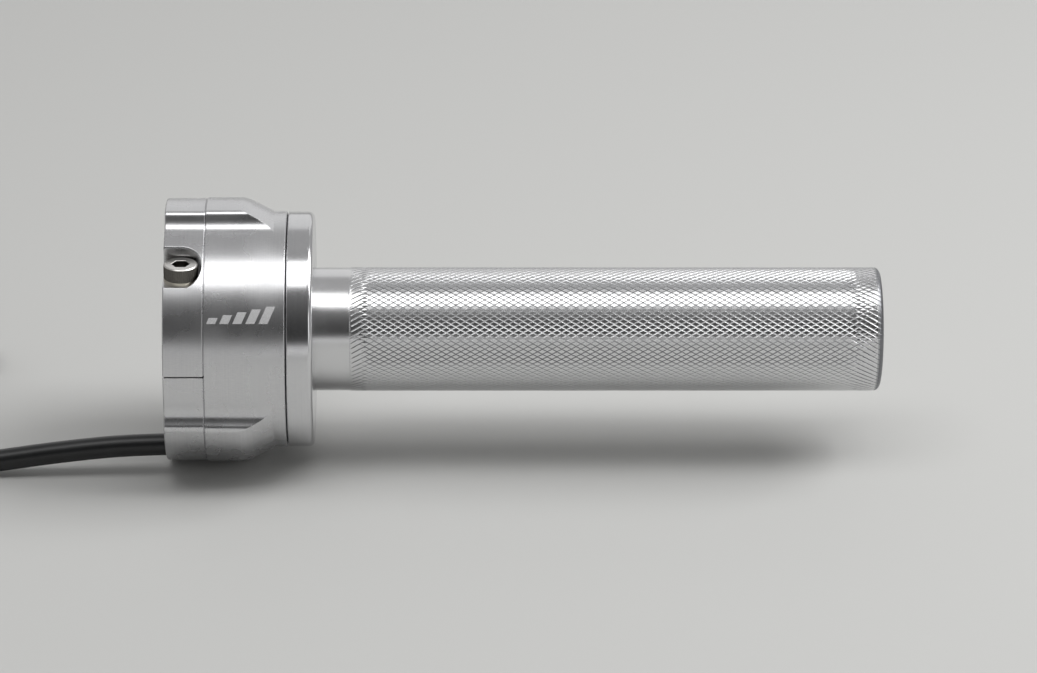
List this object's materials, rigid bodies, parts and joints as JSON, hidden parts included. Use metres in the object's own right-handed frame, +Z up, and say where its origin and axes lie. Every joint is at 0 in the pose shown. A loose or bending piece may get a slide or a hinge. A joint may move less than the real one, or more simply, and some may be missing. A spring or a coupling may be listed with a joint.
{
  "type": "throttle grip",
  "caption": "Twist throttle grip for a motorcycle: split bar clamp, lobed sensor housing, flange ring and long diamond-knurled metal twist tube, with a sensor lead.",
  "frame": {"origin": "on the handlebar's axis, in the plane of the clamp's outer (inboard) face", "axes": "+X along the handlebar from the clamp to the grip's outer end (the rider's right); +Y forward; +Z up, square to the clamp's split"},
  "size_m": [0.3158, 0.0859, 0.066],
  "materials": {
    "machined_aluminium": "turned and fine-milled, bright satin, clear anodised",
    "knurled_aluminium": "diamond knurled, bright satin",
    "stainless_steel": "bright stainless screws",
    "spring_steel": "oiled spring steel",
    "bearing_steel": "ground and polished",
    "brass_cage": "pressed brass",
    "felt": "dense wool felt",
    "black_plastic": "moulded, fine matt",
    "white_plastic": "acetal, turned",
    "circuit_board": "solder mask",
    "magnet_plating": "nickel plated",
    "wire_insulation": "smooth insulation",
    "rubber": "soft matt",
    "cable_jacket": "smooth satin jacket"
  },
  "bodies": {
    "housing": {"main_housing": "machined_aluminium", "clamp_base": "machined_aluminium", "clamp_cap": "machined_aluminium", "clamp_screws": "stainless_steel", "lock_washers": "stainless_steel", "base_screws": "stainless_steel", "felt_seal": "felt", "outer_race_spacer": "machined_aluminium", "hub_circlip": "spring_steel", "return_spring": "spring_steel", "sensor_board": "circuit_board", "hall_sensors": "black_plastic", "sensor_wires": "wire_insulation", "cable_grommet": "rubber", "sensor_cable": "cable_jacket", "cable_tail": "cable_jacket", "cable_coil": "cable_jacket", "plug_boot": "rubber", "plug_body": "black_plastic", "inboard_outer_race": "bearing_steel", "outboard_outer_race": "bearing_steel"},
    "twist_grip": {"throttle_tube": "knurled_aluminium", "twist_flange": "machined_aluminium", "magnet_carrier": "black_plastic", "carrier_screws": "stainless_steel", "sensor_magnets": "magnet_plating", "inner_bush": "white_plastic", "end_bush": "white_plastic", "inboard_inner_race": "bearing_steel", "outboard_inner_race": "bearing_steel", "inner_race_spacer": "machined_aluminium", "shaft_circlip": "spring_steel"},
    "bearing_balls": {"inboard_balls": "bearing_steel", "outboard_balls": "bearing_steel", "inboard_ball_cage": "brass_cage", "outboard_ball_cage": "brass_cage"}
  },
  "joints": [
    {"name": "throttle_twist", "type": "hinge", "parent": "housing", "child": "twist_grip", "pos_m": [0, 0, 0], "axis": [1, 0, 0], "range_deg": [0, 70], "stiffness_Nm_per_rad": 0.25, "springref_deg": -28.65, "deforming": ["return_spring"]},
    {"name": "ball_orbit", "type": "hinge", "parent": "housing", "child": "bearing_balls", "pos_m": [0, 0, 0], "axis": [1, 0, 0], "range_deg": [0, 33.1]}
  ],
  "couplings": [
    {"joint": "ball_orbit", "follows": "throttle_twist", "ratio": 0.4716}
  ]
}
